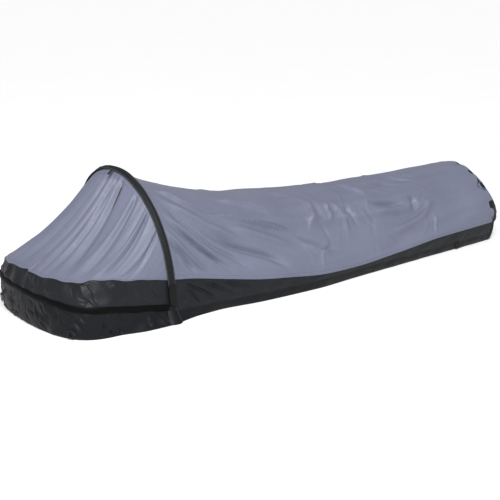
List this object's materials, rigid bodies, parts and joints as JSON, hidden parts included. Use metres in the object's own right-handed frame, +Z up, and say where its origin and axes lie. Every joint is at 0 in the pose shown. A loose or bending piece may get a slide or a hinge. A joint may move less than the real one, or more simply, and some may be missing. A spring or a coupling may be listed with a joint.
{
  "type": "bivy sack",
  "caption": "Hooped bivy sack: dark waterproof floor tub, pale canopy on one shock-corded hoop pole, zipped hood with insect mesh, shown filled to its sleeping shape.",
  "frame": {"origin": "on the ground under the middle of the bounding box", "axes": "+X from the head end towards the foot end, +Z up, +Y to the right side of a person lying on their back"},
  "size_m": [2.0967, 0.68, 0.4932],
  "materials": {
    "pale_fabric": "fine ripstop nylon with a satin face, slate lavender",
    "dark_fabric": "coated nylon, charcoal, slightly shiny",
    "flap_fabric": "folded coated nylon, near black",
    "sleeve_fabric": "woven binding tape, charcoal, matt",
    "webbing": "ribbed polyester tape, black",
    "insect_mesh": "fine open netting, black",
    "pole_alloy": "drawn and anodised tube",
    "tip_plastic": "moulded nylon",
    "shock_cord": "braided elastic cord",
    "slider_metal": "die-cast zip slider, black lacquer"
  },
  "bodies": {
    "sack": {"floor_tub": "dark_fabric", "shoulder_canopy": "pale_fabric", "body_canopy": "pale_fabric", "foot_panel": "dark_fabric", "zip_tape_lower": "webbing", "gusset_left": "dark_fabric", "gusset_right": "dark_fabric", "pad_strap_chest": "webbing", "pad_strap_legs": "webbing"},
    "hood": {"hood_canopy": "pale_fabric", "hood_band": "dark_fabric", "storm_flap": "flap_fabric", "zip_tape_upper": "webbing", "mesh_door": "insect_mesh", "mesh_zip_tape": "webbing", "pole_sleeve": "sleeve_fabric", "pole_section_1": "pole_alloy", "pole_section_2": "pole_alloy", "pole_section_3": "pole_alloy", "pole_section_4": "pole_alloy", "pole_ferrule_1": "pole_alloy", "pole_ferrule_2": "pole_alloy", "pole_ferrule_3": "pole_alloy", "shock_cord": "shock_cord", "pole_tip_left": "tip_plastic", "pole_tip_right": "tip_plastic", "pole_pocket_left": "webbing", "pole_pocket_right": "webbing"},
    "apex_tab": {"apex_tab": "webbing"},
    "mesh_zip_slider": {"mesh_zip_slider": "slider_metal"},
    "zip_slider_rear": {"zip_slider_rear": "slider_metal"},
    "zip_slider_front": {"zip_slider_front": "slider_metal"},
    "zip_pull_rear": {"zip_pull_rear": "slider_metal"},
    "zip_pull_front": {"zip_pull_front": "slider_metal"},
    "stake_loop_head_left": {"stake_loop_head_left": "webbing"},
    "stake_loop_head_right": {"stake_loop_head_right": "webbing"},
    "stake_loop_foot_left": {"stake_loop_foot_left": "webbing"},
    "stake_loop_foot_right": {"stake_loop_foot_right": "webbing"}
  },
  "joints": [
    {"name": "hood_tilt", "type": "hinge", "parent": "sack", "child": "hood", "pos_m": [-0.633, 0, 0.062], "axis": [0, 1, 0], "range_deg": [0, 50], "deforming": ["shoulder_canopy"]},
    {"name": "zip_rear_travel", "type": "slide", "parent": "sack", "child": "zip_slider_rear", "axis": [0.9805, -0.0697, -0.1838], "range_m": [0, 0.055], "deforming": ["storm_flap"]},
    {"name": "zip_front_travel", "type": "slide", "parent": "sack", "child": "zip_slider_front", "axis": [-0.9805, 0.0697, 0.1838], "range_m": [0, 0.065], "deforming": ["storm_flap"]},
    {"name": "zip_pull_rear_swing", "type": "hinge", "parent": "zip_slider_rear", "child": "zip_pull_rear", "pos_m": [-0.7399, 0.30056, 0.06956], "axis": [0.1834, -0.013, 0.983], "range_deg": [0, 130], "deforming": ["storm_flap"]},
    {"name": "zip_pull_front_swing", "type": "hinge", "parent": "zip_slider_front", "child": "zip_pull_front", "pos_m": [-0.7769, 0.30319, 0.0765], "axis": [-0.1834, 0.013, -0.983], "range_deg": [0, 130], "deforming": ["storm_flap"]},
    {"name": "mesh_zip_travel", "type": "slide", "parent": "hood", "child": "mesh_zip_slider", "axis": [-0.9805, -0.0697, 0.1838], "range_m": [0, 0.07]},
    {"name": "apex_tab_swing", "type": "hinge", "parent": "hood", "child": "apex_tab", "pos_m": [-0.68493, -0.014, 0.486], "axis": [0, 1, 0], "range_deg": [0, 110]},
    {"name": "stake_loop_head_left_fold", "type": "hinge", "parent": "sack", "child": "stake_loop_head_left", "pos_m": [-0.99927, -0.24838, 0.00543], "axis": [0.531, -0.8474, -0.0013], "range_deg": [0, 75]},
    {"name": "stake_loop_head_right_fold", "type": "hinge", "parent": "sack", "child": "stake_loop_head_right", "pos_m": [-0.99927, 0.24838, 0.00543], "axis": [-0.531, -0.8474, 0.0013], "range_deg": [0, 75]},
    {"name": "stake_loop_foot_left_fold", "type": "hinge", "parent": "sack", "child": "stake_loop_foot_left", "pos_m": [0.79533, -0.24187, 0.00521], "axis": [0.9978, 0.062, 0.024], "range_deg": [0, 65]},
    {"name": "stake_loop_foot_right_fold", "type": "hinge", "parent": "sack", "child": "stake_loop_foot_right", "pos_m": [0.79533, 0.24187, 0.00521], "axis": [-0.9978, 0.062, -0.024], "range_deg": [0, 65]}
  ]
}
